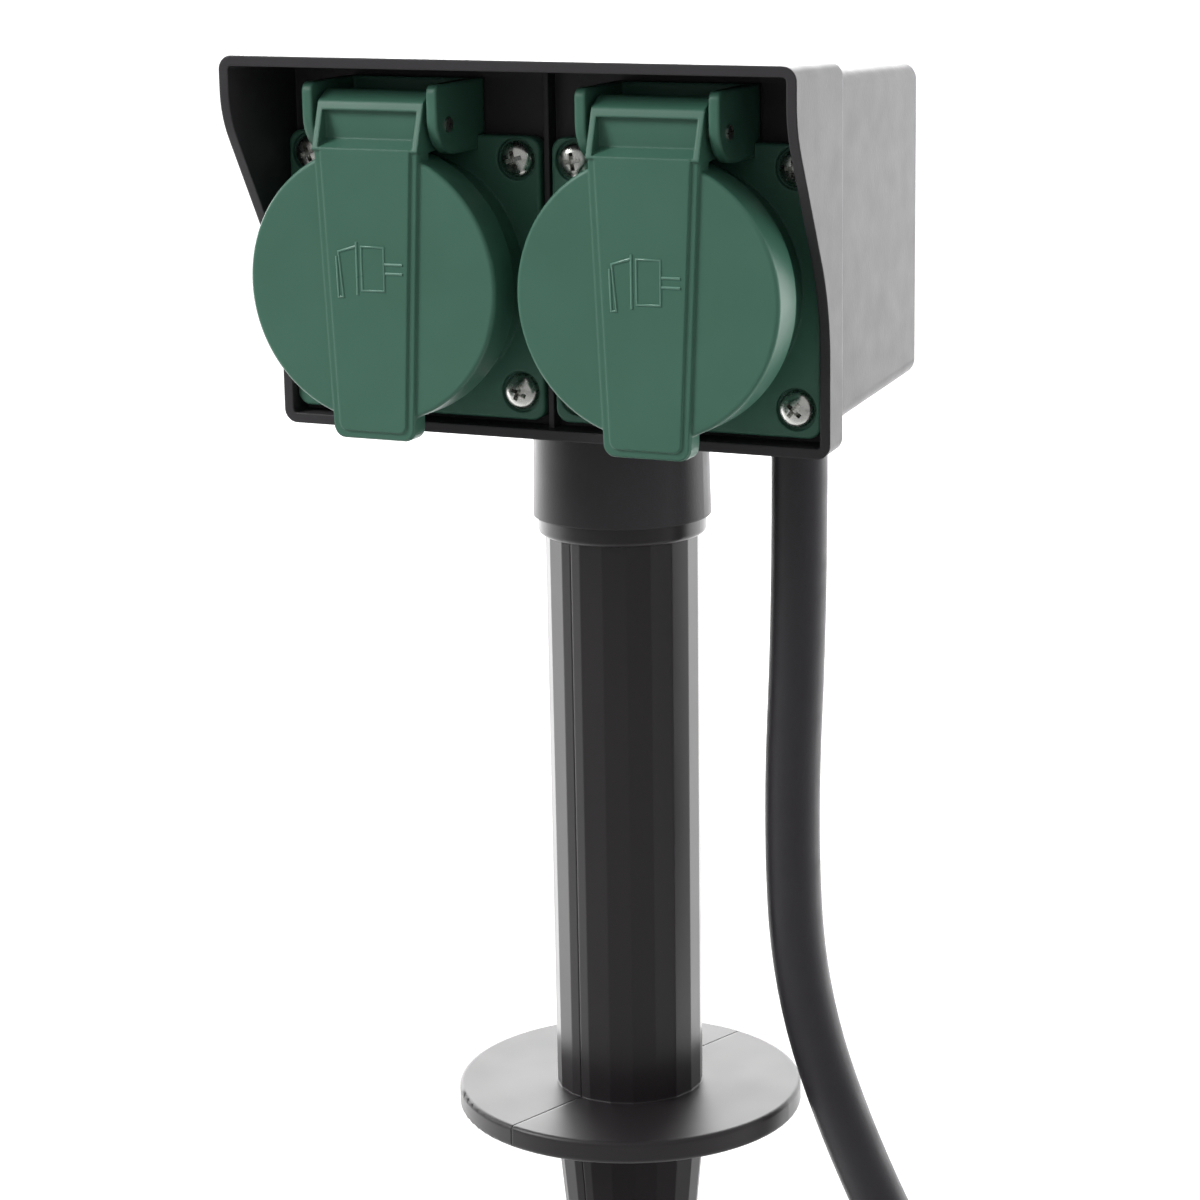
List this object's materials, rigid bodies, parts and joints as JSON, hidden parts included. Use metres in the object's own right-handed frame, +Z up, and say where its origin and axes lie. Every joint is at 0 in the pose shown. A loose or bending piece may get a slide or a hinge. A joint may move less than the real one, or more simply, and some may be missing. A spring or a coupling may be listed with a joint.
{
  "type": "garden socket spike",
  "caption": "Garden socket outlet on a ground spike: hooded black housing, round green lids with springs, rubber cable with plug",
  "frame": {"origin": "on the axis of the post, on the underside of the ground disc, where the ground's surface comes", "axes": "+Z up along the post, -Y to the front with the lids, +X to the right of someone facing the lids"},
  "size_m": [0.1524, 0.2074, 0.3428],
  "materials": {
    "housing": "satin, finely grained",
    "green": "satin",
    "seal": "matte",
    "carrier": "matte",
    "contact": "stamped sheet",
    "screw": "zinc plated",
    "cable": "matte",
    "wire_brown": "satin",
    "wire_blue": "satin",
    "wire_green": "satin",
    "nickel": "nickel plated"
  },
  "bodies": {
    "housing": {"hood_frame": "housing", "rear_box": "housing", "post_shell_left": "housing", "post_shell_right": "housing", "post_ring": "housing", "cord_clamp": "housing", "coil_tie": "housing", "housing_gasket": "seal", "cable_gland": "seal", "flange_seal_left": "seal", "flange_seal_right": "seal", "socket_body_left": "green", "socket_body_right": "green", "hinge_bracket_left": "green", "hinge_bracket_right": "green", "contact_carrier_left": "carrier", "contact_carrier_right": "carrier", "line_contact_left": "contact", "line_contact_right": "contact", "neutral_contact_left": "contact", "neutral_contact_right": "contact", "earth_clip_left": "contact", "earth_clip_right": "contact", "clamp_screws": "screw", "flange_screws": "screw", "terminal_screws": "screw", "carrier_screws": "screw", "post_screws": "screw", "hinge_pin_left": "screw", "hinge_pin_right": "screw", "lid_spring_left": "screw", "lid_spring_right": "screw", "cable_inner_end": "cable", "power_cord": "cable", "cord_coil": "cable", "plug_relief": "cable", "plug_body": "cable", "line_wires": "wire_brown", "neutral_wires": "wire_blue", "earth_wires": "wire_green", "plug_pins": "nickel", "plug_earth_strips": "nickel"},
    "left_lid": {"lid_left": "green", "lid_seal_left": "seal"},
    "right_lid": {"lid_right": "green", "lid_seal_right": "seal"}
  },
  "joints": [
    {"name": "lid_left", "type": "hinge", "parent": "housing", "child": "left_lid", "pos_m": [-0.02612, -0.041, 0.1912], "axis": [-1, 0, 0], "range_deg": [0, 100], "stiffness_Nm_per_rad": 0.02, "springref_deg": -28.65},
    {"name": "lid_right", "type": "hinge", "parent": "housing", "child": "right_lid", "pos_m": [0.02612, -0.041, 0.1912], "axis": [-1, 0, 0], "range_deg": [0, 100], "stiffness_Nm_per_rad": 0.02, "springref_deg": -28.65}
  ]
}
